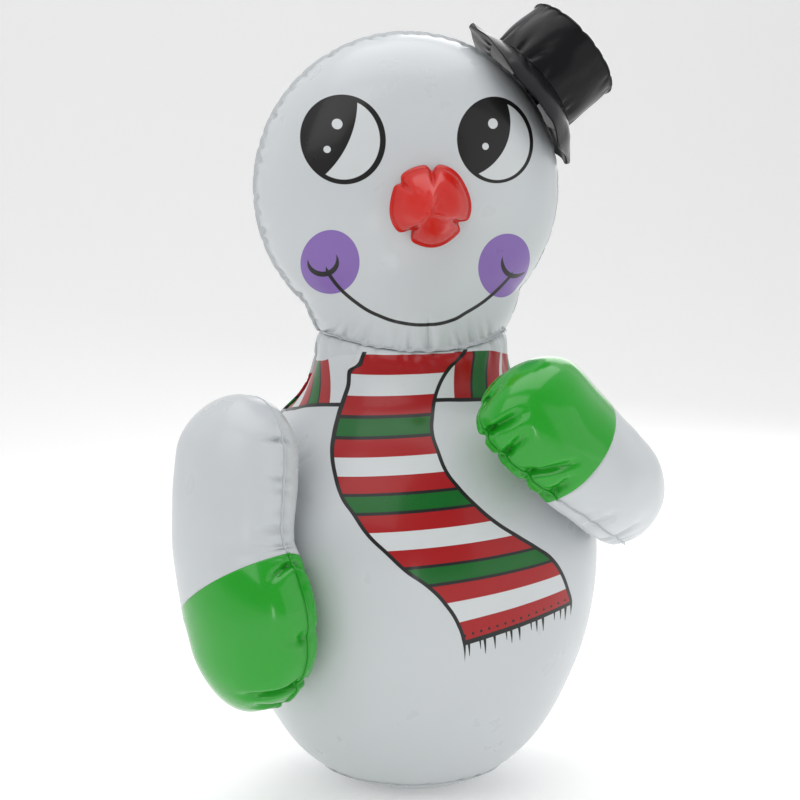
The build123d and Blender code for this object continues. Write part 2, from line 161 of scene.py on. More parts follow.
def panel(name, grid, inside, body, nodes, material, closed=False, film=FILM, holes=()):
    """A mesh from a grid of points: a sheet of film with a real thickness, on its CAD body."""
    rows, cols = grid.shape[:2]
    index = np.arange(rows * cols).reshape(rows, cols)
    right = np.roll(index, -1, axis=1) if closed else index[:, 1:]
    left = index if closed else index[:, :-1]
    quads = np.stack([left[:-1], right[:-1], right[1:], left[1:]], axis=-1).reshape(-1, 4)
    mesh = bpy.data.meshes.new(name)
    mesh.from_pydata((grid.reshape(-1, 3) * MM).tolist(), [], quads.tolist())
    bm = bmesh.new()
    bm.from_mesh(mesh)
    bmesh.ops.remove_doubles(bm, verts=bm.verts, dist=2e-5)
    bmesh.ops.dissolve_degenerate(bm, edges=bm.edges, dist=1e-6)
    for height, radius in holes:
        # A port in the back of the body, hidden under the flange of a valve.
        spots = [(f, f.calc_center_median()) for f in bm.faces]
        cut = [f for f, c in spots if c.y > 0 and c.x**2 + (c.z - height * MM) ** 2 < (radius * MM) ** 2]
        bmesh.ops.delete(bm, geom=cut, context="FACES")
    centre = Vector(np.array(inside, float) * MM)
    bm.normal_update()
    votes = sum(1 if f.normal.dot(f.calc_center_median() - centre) > 0 else -1 for f in bm.faces)
    if votes < 0:
        bmesh.ops.reverse_faces(bm, faces=bm.faces)
    bm.to_mesh(mesh)
    bm.free()
    mesh.shade_smooth()
    piece = bpy.data.objects.new(name, mesh)
    bpy.context.scene.collection.objects.link(piece)
    mesh.materials.append(material)
    solid = piece.modifiers.new("film", "SOLIDIFY")
    solid.thickness = film * MM
    solid.offset = -1
    if body:
        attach(piece, body)
    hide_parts(*nodes)
    return piece


# ---- shaders ----
class Value:
    """A shader value that ordinary arithmetic works on."""

    def __init__(self, net, socket):
        self.net, self.socket = net, socket

    def __add__(self, other):
        return self.net.math("ADD", self, other)

    def __sub__(self, other):
        return self.net.math("SUBTRACT", self, other)

    def __rsub__(self, other):
        return self.net.math("SUBTRACT", other, self)

    def __mul__(self, other):
        return self.net.math("MULTIPLY", self, other)

    def __truediv__(self, other):
        return self.net.math("DIVIDE", self, other)

    __radd__ = __add__
    __rmul__ = __mul__


class Net:
    """Builds the nodes of one material."""

    def __init__(self, name):
        self.material = bpy.data.materials.new(name)
        self.material.use_nodes = True
        self.tree = self.material.node_tree
        self.shader = self.tree.nodes["Principled BSDF"]
        coords = self.tree.nodes.new("ShaderNodeTexCoord")
        self.position = coords.outputs["Object"]
        split = self.tree.nodes.new("ShaderNodeSeparateXYZ")
        self.tree.links.new(self.position, split.inputs[0])
        self.x, self.y, self.z = [Value(self, split.outputs[i]) * 1000.0 for i in range(3)]

    def plug(self, value, socket):
        if isinstance(value, Value):
            self.tree.links.new(value.socket, socket)
        else:
            socket.default_value = value

    def math(self, operation, a, b=0.0, clamp=False):
        node = self.tree.nodes.new("ShaderNodeMath")
        node.operation, node.use_clamp = operation, clamp
        self.plug(a, node.inputs[0])
        self.plug(b, node.inputs[1])
        return Value(self, node.outputs[0])

    def step(self, distance, soft=0.35):
        """1 where a distance in mm is positive, 0 where it is negative, with a narrow soft edge."""
        return self.math("ADD", distance * (1 / soft), 0.5, clamp=True)

    def both(self, a, b):
        return self.math("MINIMUM", a, b)

    def either(self, a, b):
        return self.math("MAXIMUM", a, b)

    def size(self, a):
        return self.math("ABSOLUTE", a)

    def root(self, a):
        return self.math("SQRT", a)

    def ellipse(self, x, z, rx, rz):
        """Distance in mm inside an ellipse."""
        u = self.x - x
        v = self.z - z
        far = self.root((u / rx) * (u / rx) + (v / rz) * (v / rz))
        return (1.0 - far) * min(rx, rz)

    def curve(self, value, points):
        """A smooth curve through (in, out) points."""
        ins = [p[0] for p in points]
        outs = [p[1] for p in points]
        low_in, span_in = min(ins), max(ins) - min(ins)
        low, span = min(outs), max(outs) - min(outs)
        node = self.tree.nodes.new("ShaderNodeFloatCurve")
        self.plug((value - low_in) / span_in, node.inputs["Value"])
        line = node.mapping.curves[0]
        ordered = sorted(((i - low_in) / span_in, (o - low) / span) for i, o in points)
        line.points[0].location = ordered[0]
        line.points[1].location = ordered[-1]
        for spot in ordered[1:-1]:
            line.points.new(*spot)
        node.mapping.update()
        return Value(self, node.outputs[0]) * span + low

    def noise(self, scale, detail=2.0, rough=0.5):
        node = self.tree.nodes.new("ShaderNodeTexNoise")
        node.inputs["Scale"].default_value = scale
        node.inputs["Detail"].default_value = detail
        node.inputs["Roughness"].default_value = rough
        self.tree.links.new(self.position, node.inputs["Vector"])
        return Value(self, node.outputs["Fac"])

    def paint(self, base, *layers):
        """The base colour under layers of (mask, colour)."""
        under = base
        for mask, colour in layers:
            node = self.tree.nodes.new("ShaderNodeMix")
            node.data_type = "RGBA"
            self.plug(mask, node.inputs["Factor"])
            for socket, shade in ((node.inputs["A"], under), (node.inputs["B"], colour)):
                if isinstance(shade, tuple):
                    socket.default_value = shade
                else:
                    self.tree.links.new(shade, socket)
            under = node.outputs["Result"]
        return under

    def vinyl(self, colour, rough=0.30, coat=0.12, bump=0.06, mottle=0.03, gloss=0.36):
        """Glossy film: colour, faint clouding, smudged gloss and fine crinkle."""
        shader, links = self.shader, self.tree.links
        cloud = self.noise(9.0, 3.0)
        shade = self.tree.nodes.new("ShaderNodeHueSaturation")
        self.plug((cloud - 0.5) * (2 * mottle) + 1.0, shade.inputs["Value"])
        if isinstance(colour, tuple):
            shade.inputs["Color"].default_value = colour
        else:
            links.new(colour, shade.inputs["Color"])
        links.new(shade.outputs[0], shader.inputs["Base Color"])
        smudge = self.noise(22.0, 4.0)
        self.plug(smudge * 0.16 + (rough - 0.08), shader.inputs["Roughness"])
        shader.inputs["IOR"].default_value = 1.45
        shader.inputs["Specular IOR Level"].default_value = gloss
        shader.inputs["Coat Weight"].default_value = coat
        shader.inputs["Coat Roughness"].default_value = 0.09
        fine = self.noise(160.0, 3.0, 0.6) * 0.25 + self.noise(38.0, 2.0)
        node = self.tree.nodes.new("ShaderNodeBump")
        node.inputs["Strength"].default_value = bump
        node.inputs["Distance"].default_value = 0.0012
        self.plug(fine, node.inputs["Height"])
        links.new(node.outputs[0], shader.inputs["Normal"])
        return self.material


WHITE = (0.575, 0.60, 0.615, 1)
PRINT_WHITE = (0.62, 0.645, 0.655, 1)
BLACK = (0.012, 0.011, 0.011, 1)
SCARF_RED = (0.36, 0.007, 0.009, 1)
SCARF_GREEN = (0.002, 0.12, 0.013, 1)
MITTEN_GREEN = (0.014, 0.34, 0.016, 1)
NOSE_RED = (0.60, 0.014, 0.007, 1)
CHEEK = (0.235, 0.135, 0.42, 1)
HAT_BLACK = (0.009, 0.009, 0.010, 1)
STRIPE = 17.0  # height of one stripe of the scarf's tail


def scarf_layers(net, front):
    """The printed scarf: a band round the neck and, in front, a tail with stripes and a fringe."""
    turn = net.math("ARCTAN2", net.x, net.y * -1.0) * (180 / pi)
    low = net.curve(turn, [(-200, 416), (-180, 416), (-150, 414), (-120, 409), (-105, 407), (-88, 411),
                           (-69, 420), (-50, 424.6), (4, 432), (18, 431), (48, 427.6), (105, 418),
                           (150, 416.5), (180, 416), (200, 416)])
    high = net.curve(turn, [(-200, 462), (-180, 462), (-105, 461), (-79, 464), (-66, 469), (-50, 475),
                            (0, 479.5), (30, 479), (55, 474), (64, 471), (105, 463), (180, 462),
                            (200, 462)])
    band = net.both(net.step(net.z - low), net.step(high - net.z))
    # The stripes lean outwards as they go up, because the neck narrows.
    spread = (net.z - 430.0) * 0.005
    near = net.math("MINIMUM", net.math("MAXIMUM", turn, -85.0), 85.0)
    calm = net.math("MULTIPLY", 180.0 - net.size(turn), 1 / 70.0, clamp=True)
    lean = turn - near * calm * spread / (spread + 1.0)
    # Where each stripe starts and ends, in degrees from the front.
    reds = [(34.5, 46.5), (50.0, 60.5), (71.0, 81.5), (92.0, 102.5), (123.0, 133.5), (144.0, 154.5),
            (165.0, 180.0), (-67.5, -57.5), (-88.5, -78.0), (-110.0, -99.0), (-131.0, -120.5),
            (-152.0, -141.5), (-173.0, -162.5), (13.5, 24.0)]
    greens = [(24.0, 34.5), (60.5, 71.0), (102.5, 113.0), (-78.0, -67.5), (-120.5, -110.0), (-162.5, -152.0)]
    red = green = edge = None
    for a, b in reds:
        stripe = net.step((b - a) / 2 - net.size(lean - (a + b) / 2), 0.25)
        red = stripe if red is None else net.either(red, stripe)
    for a, b in greens:
        far = net.size(lean - (a + b) / 2)
        stripe = net.step((b - a) / 2 - far, 0.25)
        line = net.step(0.75 - net.size(far - (b - a) / 2), 0.25)
        green = stripe if green is None else net.either(green, stripe)
        edge = line if edge is None else net.either(edge, line)
    hem = net.step(1.9 - net.size(net.z - low))
    layers = [(band, PRINT_WHITE), (net.both(band, red), SCARF_RED), (net.both(band, green), SCARF_GREEN),
              (net.both(band, edge), BLACK), (hem, BLACK)]
    if not front:
        return layers
    facing = net.step(net.y * -1.0)
    left_points = [(500, -52), (477, -64), (466, -68), (458, -77), (445, -79), (434, -83), (414, -92),
                   (398, -98.6), (381, -102.8), (362, -102), (344, -98), (326, -87), (309, -76), (290, -57),
                   (273, -39), (256, -16), (239, 0), (216, 14.3), (197, 20.5), (170, 22)]
    right_points = [(500, 52), (479, 40), (462, 21), (441, 8.2), (419, 1), (403, -2.5), (385, 1), (369, 6),
                    (353, 17), (335, 33.8), (318, 53), (301, 77.7), (287, 98.7), (272, 118), (254, 131),
                    (234, 140), (219, 145), (204, 145.6), (170, 146)]
    left = net.curve(net.z, left_points)
    right = net.curve(net.z, right_points)
    lines = None
    edges = ((left, left_points, 175.5, 200.0), (right, right_points, 204.0, 221.0))
    for edge_x, points, tip, hem_z in edges:
        slope = (net.curve(net.z + 5.0, points) - net.curve(net.z - 5.0, points)) / 10.0
        stretch = net.root(slope * slope + 1.0)
        taper = net.math("MULTIPLY", net.z - tip, 1 / (hem_z - tip), clamp=True)
        line = net.step(taper * stretch * 1.9 - net.size(net.x - edge_x))
        line = net.both(line, net.step(net.z - tip))
        lines = line if lines is None else net.either(lines, line)
    across = (net.x - left) / (right - left)
    # How many stripes down the tail a place is, on its left and on its right edge.
    rows_left = [(500, -1.1), (477, 0), (414, 3), (326, 8), (239, 13), (197, 15), (170, 16.4)]
    rows_right = [(500, -1.2), (479, 0), (419, 3), (335, 8), (254, 13), (220, 15), (190, 16.9)]
    count_left = net.curve(net.z, rows_left)
    count_right = net.curve(net.z, rows_right)
    count = count_left + (count_right - count_left) * across
    tail = net.both(net.step(net.x - left), net.step(right - net.x))
    cloth = net.both(net.both(tail, net.step((15.0 - count) * STRIPE)), net.step(count * STRIPE))
    phase = net.math("FLOORED_MODULO", count, 4.0)
    white = net.step((0.5 - net.size(phase - 1.5)) * STRIPE)
    greens = net.step((0.5 - net.size(phase - 3.5)) * STRIPE)
    rule = net.step((0.085 - net.size(net.size(phase - 3.5) - 0.5)) * STRIPE)
    rule = net.either(rule, net.step((0.085 - net.size(phase)) * STRIPE))
    rule = net.both(rule, net.step((count - 1.0) * STRIPE))
    cell = net.math("FRACT", across * 14.0 + 0.25) - 0.5
    dot_far = net.root((cell * 9.2) * (cell * 9.2) + ((count - 14.68) * STRIPE) * ((count - 14.68) * STRIPE))
    dots = net.both(net.step(1.35 - dot_far), tail)
    hem_line = net.both(net.step((0.13 - net.size(count - 15.05)) * STRIPE), tail)
    waver = net.math("SINE", net.math("FLOOR", across * 13.0) * 4.3) * 0.22
    thread = net.size(net.math("FRACT", across * 13.0 + waver * 0.3) - 0.5 + waver) * 10.0
    drop = net.math("MULTIPLY", 16.0 + waver - count, 1.0, clamp=True)
    fringe = net.both(net.both(net.step(drop * 1.7 - thread), net.step((count - 15.0) * STRIPE)),
                      net.both(tail, net.step((15.85 + waver - count) * STRIPE)))
    top = net.step((count + 0.12) * STRIPE)
    tail_layers = [(cloth, SCARF_RED), (net.both(cloth, white), PRINT_WHITE),
                   (net.both(cloth, greens), SCARF_GREEN), (net.both(cloth, rule), BLACK), (dots, BLACK),
                   (hem_line, BLACK), (fringe, BLACK), (net.both(lines, top), BLACK)]
    layers += [(net.both(mask, facing), colour) for mask, colour in tail_layers]
    return layers


def body_material(front):
    net = Net("white_vinyl_scarf_front" if front else "white_vinyl_scarf_back")
    return net.vinyl(net.paint(WHITE, *scarf_layers(net, front)))


def arc_line(net, points, half):
    """A drawn line, half as wide as given, along z as a function of x."""
    rise = net.curve(net.x, points)
    slope = (net.curve(net.x + 2.0, points) - net.curve(net.x - 2.0, points)) / 4.0
    line = net.step(net.root(slope * slope + 1.0) * half - net.size(net.z - rise))
    ends = [p[0] for p in points]
    return net.both(line, net.both(net.step(net.x - min(ends)), net.step(max(ends) - net.x)))


def circle_through(a, b, c):
    """Centre and radius of the circle through three points."""
    rows = np.array([[2 * (b[0] - a[0]), 2 * (b[1] - a[1])], [2 * (c[0] - b[0]), 2 * (c[1] - b[1])]])
    sums = [p[0] ** 2 + p[1] ** 2 for p in (a, b, c)]
    centre = np.linalg.solve(rows, [sums[1] - sums[0], sums[2] - sums[1]])
    return [float(v) for v in centre], float(np.hypot(centre[0] - a[0], centre[1] - a[1]))


def face_material():
    """The printed face: two wide eyes that look to one side, cheeks and a smile."""
    net = Net("white_vinyl_face")
    layers = []
    # Each eye: centre and size of its outline, its white, the circle of its pupil's edge, two highlights.
    eyes = (
        ((-84.6, 698), (42.3, 45.3), (-85.2, 698.2, 36.9, 40.6), (-179.4, 742.0, 109.8),
         ((-90.7, 713.6, 5.3), (-101.3, 688, 3.6))),
        ((74.0, 697), (42.7, 44.2), (74.6, 696.2, 37.6, 40.0), (30.1, 718.3, 60.4),
         ((70.5, 713.7, 5.3), (61.7, 690.6, 3.6))),
    )
    for (x, z), (rx, rz), white, pupil, lights in eyes:
        layers.append((net.step(net.ellipse(x, z, rx, rz)), BLACK))
        outside = net.step(net.ellipse(pupil[0], pupil[1], pupil[2], pupil[2]) * -1.0)
        layers.append((net.both(net.step(net.ellipse(*white)), outside), PRINT_WHITE))
        for light in lights:
            layers.append((net.step(net.ellipse(light[0], light[1], light[2], light[2])), PRINT_WHITE))
    layers.append((net.step(net.ellipse(-97.6, 572.3, 28.8, 34.0)), CHEEK))
    layers.append((net.step(net.ellipse(86.0, 566.5, 31.0, 34.0)), CHEEK))
    smile = [(-102, 565), (-68, 528.2), (-47.5, 517), (-25.9, 510.4), (-4.1, 508.3), (18.7, 510.3),
             (43.5, 520.3), (70.4, 535.3), (96, 557)]
    layers.append((arc_line(net, smile, 1.8), BLACK))
    dimples = (((-115, 563.5), (-102, 560), (-92.5, 581), 3.2),
               ((82, 570.5), (91.5, 556.8), (113.5, 558.5), 3.0))
    for start, middle, end, thick in dimples:
        # A short arc through three points, thick in the middle and fading to its ends.
        (cx, cz), ring = circle_through(start, middle, end)
        half = sqrt((end[0] - middle[0]) ** 2 + (end[1] - middle[1]) ** 2)
        mx, mz = middle
        off = net.size(net.ellipse(cx, cz, ring, ring))
        near = 1.0 - net.ellipse(mx, mz, half * 1.05, half * 1.05) / (half * 1.05)
        layers.append((net.step((1.0 - near * near * near) * thick - off - 0.4), BLACK))
    layers = [(net.both(mask, net.step(net.y * -1.0)), colour) for mask, colour in layers]
    return net.vinyl(net.paint(WHITE, *layers))


def plain(name, colour, **looks):
    return Net(name).vinyl(colour, **looks)


white = plain("white_vinyl_plain", WHITE)
green = plain("green_vinyl_film", MITTEN_GREEN, rough=0.2, coat=0.35, bump=0.2, mottle=0.05, gloss=0.42)
red = plain("red_vinyl_film", NOSE_RED, rough=0.22, coat=0.2, bump=0.12, mottle=0.05, gloss=0.4)
black = plain("black_vinyl_film", HAT_BLACK, rough=0.24, coat=0.06, bump=0.3, mottle=0.1, gloss=0.16)
scarf_front = body_material(True)
scarf_back = body_material(False)
face = face_material()


# ---- body ----
LOWER_C = (R_WIDE - R_LOWER, Z_WIDE)
ROLL_C = (LOWER_C[0] + (R_LOWER - R_ROLL) * cos(radians(LOWER_SPAN)),
          LOWER_C[1] - (R_LOWER - R_ROLL) * sin(radians(LOWER_SPAN)))
NECK_REACH = R_NECK + NECK_FILLET - R_WIDE
NECK_RISE = Z_NECK - Z_WIDE
R_UPPER = (NECK_REACH**2 + NECK_RISE**2 - NECK_FILLET**2) / (2 * (NECK_FILLET - NECK_REACH))
UPPER_C = (R_WIDE - R_UPPER, Z_WIDE)
UPPER_SPAN = degrees(asin(NECK_RISE / (R_UPPER + NECK_FILLET)))
NECK_TURN = 17.0  # radius of the soft edge at the top of the neck
SEAM_ANGLE = -degrees(acos((R_BASE_SEAM - ROLL_C[0]) / R_ROLL))
FLAT_ANGLE = -degrees(asin(ROLL_C[1] / R_ROLL))


def arc_points(centre, radius, start, end, count):
    """Points and outward normals along one arc of the profile."""
    a = np.radians(np.linspace(start, end, count))
    ring = np.stack([np.cos(a), np.sin(a)], axis=-1)
    return np.array(centre) + radius * ring, ring


def body_profile(step):
    """(r, z) points and normals from the base seam to the neck weld."""
    arcs = (
        (ROLL_C, R_ROLL, SEAM_ANGLE, -LOWER_SPAN, 1),
        (LOWER_C, R_LOWER, -LOWER_SPAN, 0, 1),
        (UPPER_C, R_UPPER, 0, UPPER_SPAN, 1),
        ((R_NECK + NECK_FILLET, Z_NECK), NECK_FILLET, 180 + UPPER_SPAN, 180, -1),
        ((R_NECK - NECK_TURN, Z_NECK + 2), NECK_TURN, 0, 56, 1),
    )
    points, ways = [], []
    for centre, radius, start, end, sign in arcs:
        count = max(4, int(radius * radians(abs(end - start)) / step))
        p, n = arc_points(centre, radius, start, end, count)
        points.append(p if not points else p[1:])
        ways.append(sign * n if not ways else sign * n[1:])
    return np.concatenate(points), np.concatenate(ways)


def weld_height(angle):
    """Height of the neck weld at an angle from the front."""
    return Z_THROAT + CHIN_RISE * np.sin(angle) ** 2 - 1.0


PROFILE, PROFILE_N = body_profile(2.4)
PROFILE_S = lengths(PROFILE)


def surface(angle, radius_z):
    """Points round Z at angles from the front towards +X."""
    r, z = radius_z[..., 0], radius_z[..., 1]
    return np.stack([r * np.sin(angle), -r * np.cos(angle), z], axis=-1)


def body_panel(name, start, end, seed, material, node, holes=()):
    """One side of the body between its two side seams, gathered at every weld."""
    angles = np.radians(np.linspace(start, end, int(abs(end - start) * 1.7)))
    a = angles[None, :]
    p = np.repeat(PROFILE[:, None, :], len(angles), axis=1)
    way = np.repeat(PROFILE_N[:, None, :], len(angles), axis=1)
    s = PROFILE_S[:, None]
    total = PROFILE_S[-1]
    r = p[..., 0]
    to_side = np.minimum(a - angles[0], angles[-1] - a) * r
    to_neck = total - s + 0 * a
    depth = 2.2 * puckers(s, to_side, total, 24, 26, 5.0, seed)
    round_neck = a * 95.0 + 400
    depth += 2.6 * puckers(round_neck, to_neck, 800, 21, 34, 5.5, seed + 1)
    depth += 0.9 * puckers(round_neck, s + 0 * a, 800, 30, 18, 6.0, seed + 2)
    if node == "body_front_panel":
        for hub_angle, hub_z in ((-62, 356), (66, 336)):
            hub_s = np.interp(hub_z, PROFILE[:, 1], PROFILE_S)
            du, dv = (a - radians(hub_angle)) * r, s - hub_s
            far = np.sqrt(du**2 + dv**2)
            spoke = np.arctan2(dv, du) * 30 + 100
            depth += 2.2 * puckers(spoke, np.maximum(far - 24, 0), 188, 17, 45, 5.0, seed + hub_z, True)
    depth = depth * smooth(0, 4, to_neck)
    lift = (weld_height(a) - Z_THROAT) * smooth(400, Z_THROAT, p[..., 1])
    p = p - way * depth[..., None]
    p[..., 1] += lift
    grid = surface(a, p)
    out = surface(a, way)
    grid = grid + out * (0.55 * dents(grid, 90, seed))[..., None] * smooth(0, 12, to_neck)[..., None]
    fold = np.concatenate([out[:1] * 1.2 + grid[:1], grid], axis=0)
    side_out = np.concatenate([out[:1], out], axis=0)
    keep = smooth(0, 30, total - np.concatenate([[0], PROFILE_S]))[:, None, None]
    first = fold[:, :1] + side_out[:, :1] * WELD * keep
    last = fold[:, -1:] + side_out[:, -1:] * WELD * keep
    grid = np.concatenate([first, fold, last], axis=1)
    return panel(name, grid, (0, 0, 260), "shell", [node], material, holes=holes)


body_panel("body_front", -SIDE_SEAM + 0.08, SIDE_SEAM - 0.08, 11, scarf_front, "body_front_panel")
body_panel("body_back", SIDE_SEAM + 0.08, 360 - SIDE_SEAM - 0.08, 31, scarf_back, "body_back_panel",
           ((150.0, 10.5), (42.0, 10.5)))


def base_disc():
    """The base: flat where it stands, then up the roll to its weld."""
    roll, way = arc_points(ROLL_C, R_ROLL, FLAT_ANGLE, SEAM_ANGLE, 22)
    flat = np.stack([np.linspace(0, roll[0, 0], 14), np.zeros(14)], axis=-1)
    p = np.concatenate([flat[:-1], roll])
    way = np.concatenate([np.tile([0.0, -1.0], (13, 1)), way])
    angles = np.radians(np.linspace(0, 360, 241)[:-1])
    a = angles[None, :]
    from_rim = (R_BASE_SEAM - p[:, 0])[:, None]
    depth = 1.4 * puckers(a * 100, from_rim + 0 * a, 628, 22, 22, 5.0, 51, True)
    depth = depth * smooth(1.5, 12, p[:, 1])[:, None]
    q = p[:, None, :] - way[:, None, :] * depth[..., None]
    grid = surface(a, q)
    out = surface(a, np.repeat(way[-1:, None, :], len(angles), axis=1))
    grid = np.concatenate([grid, grid[-1:] + out * 1.2], axis=0)
    return panel("base", grid, (0, 0, 200), "shell", ["base_panel"], white, closed=True)


base_disc()


# ---- head ----
def pillow_depth(rho):
    """Half depth of the head at a distance from its centre."""
    rim_c = HEAD_R - RIM_R
    ball = (rim_c**2 + HEAD_DEPTH**2 - RIM_R**2) / (2 * (HEAD_DEPTH - RIM_R))
    meet = ball * rim_c / (ball - RIM_R)
    crown = np.sqrt(np.maximum(ball**2 - rho**2, 0)) - (ball - HEAD_DEPTH)
    rim = np.sqrt(np.maximum(RIM_R**2 - (rho - rim_c) ** 2, 0))
    return np.where(rho < meet, crown, rim)


def lobe_radius(z):
    """Radius of the chin lobe at a height."""
    below = LOBE_R * (1 - 0.004 * ((LOBE_Z - z) / (LOBE_Z - Z_THROAT)) ** 2)
    above = LOBE_R - 0.0022 * (z - LOBE_Z) ** 2
    return np.where(z < LOBE_Z, below, np.maximum(above, 0))


def lobe_width(z):
    """Half width of the chin lobe at a height: it flares upwards into the round head."""
    up = z - 491.0
    flare = 97.5 + 0.70 * up - 0.0065 * up**2
    return np.where(up < 0, 97.5 + 0.15 * up, np.maximum(flare, 1.0))


def head_depth(x, z):
    """Half depth of the head at (x, z), with the lobe blended in."""
    rho = np.sqrt((x - HEAD[0]) ** 2 + (z - HEAD[2]) ** 2)
    a = np.where(rho < HEAD_R, pillow_depth(np.minimum(rho, HEAD_R)), 0)
    b = lobe_radius(z) * np.sqrt(np.maximum(1 - (x / lobe_width(z)) ** 2, 0))
    b = b * (z < 640)
    return (a**14 + b**14) ** (1 / 14)


def head_outline(way):
    """Distance from the head centre to its outline along a direction (x, z)."""
    dx, dz = way
    far = np.linspace(60, 200, 2801)
    x, z = HEAD[0] + far * dx, HEAD[2] + far * dz
    floor = weld_height(np.arcsin(np.clip(x / R_THROAT, -1, 1)))
    inside = (head_depth(x, z) > 0.5) & (z > floor)
    return far[np.argmin(inside)] if not inside.all() else far[-1]


def head_panel(name, front, seed, material, node):
    """One half of the head, gathered all round its rim and along the chin weld."""
    phi = np.radians(np.linspace(-90, 270, 721)[:-1])
    limit = np.array([head_outline((cos(f), sin(f))) for f in phi])
    rows = 120
    t = np.sin(np.linspace(0, 1, rows) * pi / 2)[:, None]
    x = HEAD[0] + limit * np.cos(phi) * t
    z = HEAD[2] + limit * np.sin(phi) * t
    depth = head_depth(x, z)
    down = limit * np.sin(phi) + HEAD[2] < Z_THROAT + 16
    down = down & (np.abs(limit * np.cos(phi) + HEAD[0]) < R_THROAT + 1)
    depth[-1] = np.where(down, depth[-1], 0)
    side = -1 if front else 1
    grid = np.stack([x, side * depth, z], axis=-1)
    steps = np.linalg.norm(np.diff(grid, axis=0), axis=-1)
    from_rim = np.concatenate([np.cumsum(steps[::-1], axis=0)[::-1], np.zeros((1, len(phi)))])
    edge_steps = np.linalg.norm(np.diff(np.concatenate([grid[-1], grid[-1][:1]]), axis=0), axis=-1)
    along = np.concatenate([[0], np.cumsum(edge_steps)[:-1]])[None, :]
    around = float(edge_steps.sum())
    sink = 3.3 * puckers(along, from_rim, around, 17, 24, 4.0, seed, True)
    sink += 1.2 * puckers(along, from_rim, around, 9, 11, 2.4, seed + 1, True)
    chin = down[None, :] * smooth(60, 0, from_rim)
    sink += 2.8 * chin * puckers(along, from_rim, around, 24, 34, 4.6, seed + 2, True)
    if front:
        middle = np.argmin(np.abs(np.where(down, grid[-1, :, 0] - 3.0, 999)))
        sink += 4.0 * crease(along, from_rim, along[0, middle], 42, 3.4)
    out = normals(grid, HEAD)
    sink = sink * smooth(0, 3.0, from_rim)
    grid = grid - out * sink[..., None]
    grid = grid + out * (0.7 * dents(grid, 110, seed) * smooth(0, 15, from_rim))[..., None]
    scallop = 1.5 * puckers(along, 0 * along, around, 17, 24, 6.0, seed, True)[0]
    radial = np.stack([np.cos(phi), 0 * phi, np.sin(phi)], axis=-1)
    ring = unit(np.stack([grid[-1, :, 0], grid[-1, :, 1], 0 * phi], axis=-1))
    chin_edge = down.astype(float)
    wrapped = np.concatenate([chin_edge[-9:], chin_edge, chin_edge[:9]])
    chin_edge = np.convolve(wrapped, np.ones(19) / 19, "valid")
    away = unit(radial * (1 - chin_edge)[:, None] + ring * chin_edge[:, None])
    fade = smooth(14, 0, from_rim)
    grid = grid - radial * (fade * scallop * (1 - chin_edge))[..., None]
    grid[..., 2] += fade * chin_edge * (0.4 - scallop * 1.0)
    gap = 0.35 * side
    tip = grid[-1] + away * WELD
    grid = np.concatenate([grid, tip[None]], axis=0)
    grid[-2:, :, 1] += gap * (1 - chin_edge)
    grid[-2:, :, 2] += 0.5 * chin_edge
    return panel(name, grid, HEAD, "shell", [node], material, closed=True)


head_panel("head_front", True, 71, face, "head_front_panel")
head_panel("head_back", False, 91, white, "head_back_panel")


# ---- nose ----
def nose():
    """A short cone of film. It is gathered at four notches, and three folds run up to its tip."""
    base = np.array([3.0, 631.0])
    base_r, length = 40.0, 50.0
    tip_shift = np.array([-8.5, -5.0])
    u = np.concatenate([np.linspace(1, 0.72, 34), np.linspace(0.71, 0.0, 60)])[:, None]
    phi = np.radians(np.linspace(0, 360, 361)[:-1])[None, :]
    notches = ((88, 0.17, 6.0, 0.45), (143, 0.11, 5.5, 0.25), (231, 0.25, 7.0, 0.5), (329, 0.20, 6.5, 0.5))
    folds = ((88, 1.0), (222, 0.9), (329, 0.9))

    def near(angle, wide):
        gap = (np.degrees(phi) - angle + 180) % 360 - 180
        return np.exp(-((gap / wide) ** 2))

    pinch = sum(deep * near(at, wide) for at, deep, wide, strong in notches)
    radius = base_r * (1 - pinch * smooth(0.35, 1.0, u)) * (1 + 0.02 * np.cos(5 * phi + 1))
    puff = np.sqrt(np.maximum(1 - u**2, 0))
    height = length * (0.66 * (1 - u) + 0.34 * puff)
    valley = sum(strong * near(at, 5 + 8 * (1 - u)) for at, deep, wide, strong in notches)
    valley = valley * smooth(0.62, 0.98, u)
    ridge = sum(k * near(at, 11 + 8 * u) for at, k in folds) * smooth(0.0, 0.14, u) * smooth(0.85, 0.35, u)
    between = sum(k * near(at + 57, 34) for at, k in folds) * smooth(0.02, 0.2, u) * smooth(0.8, 0.4, u)
    height = height * (1 - 0.42 * valley) + 4.6 * ridge - 3.0 * between
    blunt = 3.2 * np.exp(-((u / 0.07) ** 2))
    height = height - blunt * 0.8
    x = base[0] + radius * u * np.cos(phi) + tip_shift[0] * (1 - u) ** 1.2
    z = base[1] + radius * u * np.sin(phi) + tip_shift[1] * (1 - u) ** 1.2
    rim_x = base[0] + radius[:1] * np.cos(phi)
    rim_z = base[1] + radius[:1] * np.sin(phi)
    y = -head_depth(rim_x + 0 * u, rim_z + 0 * u) * u - (1 - u) * HEAD_DEPTH - height
    grid = np.stack([x, y + 0 * phi, z], axis=-1)
    flange = grid[:1].copy()
    way = np.stack([np.cos(phi), 0 * phi, np.sin(phi)], axis=-1)
    flange = flange + way * 2.6
    flange[..., 1] = -head_depth(flange[..., 0], flange[..., 2]) - 0.9
    grid[:1, :, 1] -= 0.9
    grid = np.concatenate([flange, grid], axis=0)
    return panel("nose", grid, (3, -60, 631), "shell", ["nose_cone"], red, closed=True)


nose()


